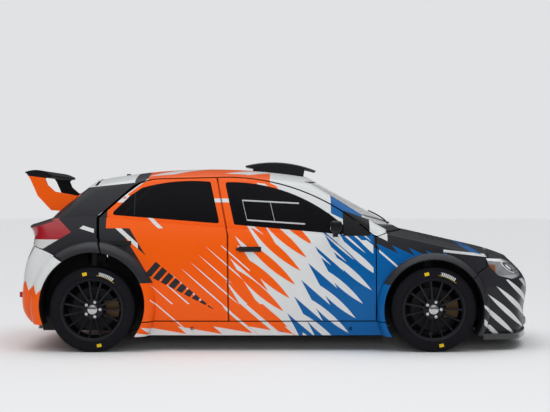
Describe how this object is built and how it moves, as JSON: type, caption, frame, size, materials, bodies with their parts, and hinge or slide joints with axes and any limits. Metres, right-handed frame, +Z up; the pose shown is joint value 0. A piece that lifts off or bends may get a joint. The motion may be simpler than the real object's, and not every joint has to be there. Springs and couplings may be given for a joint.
{
  "type": "rally car",
  "caption": "Five-door hatchback rally car on tarmac wheels, with flared arches, roof scoop, high rear wing, roll cage, and doors, bonnet, tailgate, steering and wheels that move.",
  "frame": {"origin": "on the ground under the middle of the overall length and width", "axes": "+X to the nose, +Y to the car's left, +Z up"},
  "size_m": [4.0607, 1.96, 1.4574],
  "materials": {
    "tyre": "matte rubber",
    "wheel_black": "satin black",
    "disc_steel": "turned steel",
    "glass": "dark tinted",
    "clear_lamp": "clear polycarbonate",
    "red_lamp": "red lens",
    "cast_carrier": "bronze coated",
    "frame_steel": "black coated steel",
    "cage_paint": "grey paint",
    "seat_fabric": "black cloth",
    "black_plastic": "grained black",
    "engine_cast": "cast",
    "radiator_aluminium": "finned",
    "tow_red": "woven red",
    "floor_paint": "grey paint",
    "orange_paint": "gloss",
    "white_paint": "gloss",
    "blue_paint": "gloss",
    "grey_paint": "gloss"
  },
  "bodies": {
    "car_body": {"cowl": "black_plastic", "dashboard": "black_plastic", "engine": "engine_cast", "exhaust": "frame_steel", "floor_pan": "floor_paint", "front_bumper": "grey_paint", "front_fender_left": "blue_paint", "front_fender_right": "blue_paint", "front_splitter": "black_plastic", "front_subframe": "frame_steel", "grille": "black_plastic", "headlamp_left": "clear_lamp", "headlamp_right": "clear_lamp", "radiator": "radiator_aluminium", "rear_bumper": "orange_paint", "rear_subframe": "frame_steel", "roll_cage": "cage_paint", "roof_panel": "orange_paint", "roof_scoop": "black_plastic", "seat_left": "seat_fabric", "seat_right": "seat_fabric", "side_frame_left": "grey_paint", "side_frame_right": "grey_paint", "side_skirt_left": "white_paint", "side_skirt_right": "white_paint", "tail_lamp_left": "red_lamp", "tail_lamp_right": "red_lamp", "tow_strap": "tow_red", "windscreen": "glass"},
    "front_door_right_body": {"front_door_right": "white_paint", "front_door_glass_right": "glass"},
    "rear_door_right_body": {"rear_door_right": "orange_paint", "rear_door_glass_right": "glass"},
    "upright_right_body": {"upright_right": "cast_carrier"},
    "front_right_wheel": {"front_right_tyre": "tyre", "front_right_rim": "wheel_black", "front_right_brake_disc": "disc_steel"},
    "rear_right_wheel": {"rear_right_tyre": "tyre", "rear_right_rim": "wheel_black", "rear_right_brake_disc": "disc_steel"},
    "front_door_left_body": {"front_door_left": "white_paint", "front_door_glass_left": "glass"},
    "rear_door_left_body": {"rear_door_left": "orange_paint", "rear_door_glass_left": "glass"},
    "upright_left_body": {"upright_left": "cast_carrier"},
    "front_left_wheel": {"front_left_tyre": "tyre", "front_left_rim": "wheel_black", "front_left_brake_disc": "disc_steel"},
    "rear_left_wheel": {"rear_left_tyre": "tyre", "rear_left_rim": "wheel_black", "rear_left_brake_disc": "disc_steel"},
    "bonnet_body": {"bonnet": "grey_paint"},
    "tailgate_body": {"tailgate": "grey_paint", "rear_window": "glass", "rear_wing": "orange_paint"}
  },
  "joints": [
    {"name": "steer_right", "type": "hinge", "parent": "car_body", "child": "upright_right_body", "pos_m": [1.185, -0.7, 0.195], "axis": [-0.0505, 0.1683, 0.9844], "range_deg": [-28, 28]},
    {"name": "steer_left", "type": "hinge", "parent": "car_body", "child": "upright_left_body", "pos_m": [1.185, 0.7, 0.195], "axis": [-0.0505, -0.1683, 0.9844], "range_deg": [-28, 28]},
    {"name": "front_right_spin", "type": "hinge", "parent": "upright_right_body", "child": "front_right_wheel", "pos_m": [1.185, -0.792, 0.32], "axis": [0, 1, 0], "continuous": true},
    {"name": "rear_right_spin", "type": "hinge", "parent": "car_body", "child": "rear_right_wheel", "pos_m": [-1.385, -0.792, 0.32], "axis": [0, 1, 0], "continuous": true},
    {"name": "front_left_spin", "type": "hinge", "parent": "upright_left_body", "child": "front_left_wheel", "pos_m": [1.185, 0.792, 0.32], "axis": [0, 1, 0], "continuous": true},
    {"name": "rear_left_spin", "type": "hinge", "parent": "car_body", "child": "rear_left_wheel", "pos_m": [-1.385, 0.792, 0.32], "axis": [0, 1, 0], "continuous": true},
    {"name": "front_door_right_hinge", "type": "hinge", "parent": "car_body", "child": "front_door_right_body", "pos_m": [0.728, -0.817, 0.5], "axis": [0, 0, 1], "range_deg": [0, 60]},
    {"name": "rear_door_right_hinge", "type": "hinge", "parent": "car_body", "child": "rear_door_right_body", "pos_m": [-0.387, -0.828, 0.5], "axis": [0, 0, 1], "range_deg": [0, 60]},
    {"name": "front_door_left_hinge", "type": "hinge", "parent": "car_body", "child": "front_door_left_body", "pos_m": [0.728, 0.817, 0.5], "axis": [0, 0, -1], "range_deg": [0, 60]},
    {"name": "rear_door_left_hinge", "type": "hinge", "parent": "car_body", "child": "rear_door_left_body", "pos_m": [-0.387, 0.828, 0.5], "axis": [0, 0, -1], "range_deg": [0, 60]},
    {"name": "bonnet_hinge", "type": "hinge", "parent": "car_body", "child": "bonnet_body", "pos_m": [0.866, 0, 0.888], "axis": [0, -1, 0], "range_deg": [0, 60]},
    {"name": "tailgate_hinge", "type": "hinge", "parent": "car_body", "child": "tailgate_body", "pos_m": [-1.408, 0, 1.31], "axis": [0, 1, 0], "range_deg": [0, 75]}
  ],
  "couplings": [
    {"joint": "steer_left", "follows": "steer_right", "ratio": 1}
  ]
}
